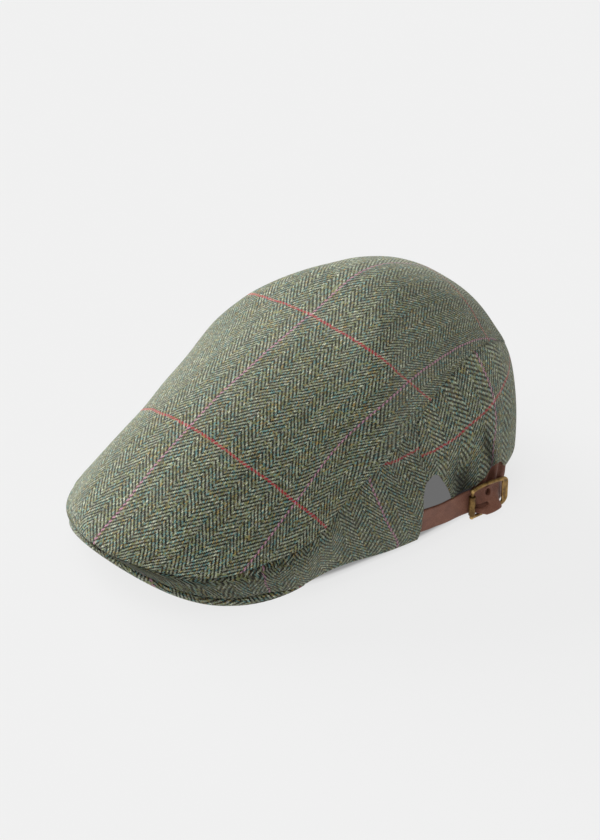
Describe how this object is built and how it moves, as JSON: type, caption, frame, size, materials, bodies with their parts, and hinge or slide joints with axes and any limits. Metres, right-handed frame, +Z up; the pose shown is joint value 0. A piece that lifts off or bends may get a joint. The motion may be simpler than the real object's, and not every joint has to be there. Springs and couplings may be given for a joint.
{
  "type": "flat cap",
  "caption": "Rounded flat cap in checked herringbone tweed with a stiff peak, and a leather strap and brass buckle that tighten it beside a notch.",
  "frame": {"origin": "middle of the head opening, in the plane that the cap rests on", "axes": "+Z up through the crown, the peak points along -Y, the wearer's left side (with the buckle) is +X"},
  "size_m": [0.1615, 0.2817, 0.1271],
  "materials": {
    "tweed": "woollen herringbone tweed, olive, sage and teal yarns with a red and lilac overcheck",
    "lining": "smooth grey satin lining",
    "sweatband": "dark cotton twill band",
    "board": "flexible moulded board",
    "leather": "brown pull-up leather, matt",
    "brass": "antique brass, rubbed bright on the edges"
  },
  "bodies": {
    "cap": {"top_panel": "tweed", "side_panel_left": "tweed", "side_panel_right": "tweed", "back_panel": "tweed", "peak_cover_top": "tweed", "peak_cover_bottom": "tweed", "peak_board": "board", "lining_top": "lining", "lining_left": "lining", "lining_right": "lining", "lining_back": "lining", "lining_front": "lining", "sweatband": "sweatband", "strap": "leather", "strap_tab": "leather", "buckle_pin": "brass"},
    "frame": {"buckle_frame": "brass"},
    "prong": {"buckle_prong": "brass"}
  },
  "joints": [
    {"name": "frame_swing", "type": "hinge", "parent": "cap", "child": "frame", "pos_m": [0.0795, 0.0297, 0.0099], "axis": [0, 0, -1], "range_deg": [0, 40]},
    {"name": "prong_swing", "type": "hinge", "parent": "cap", "child": "prong", "pos_m": [0.0795, 0.0297, 0.0099], "axis": [0, 0, -1], "range_deg": [0, 95]}
  ]
}
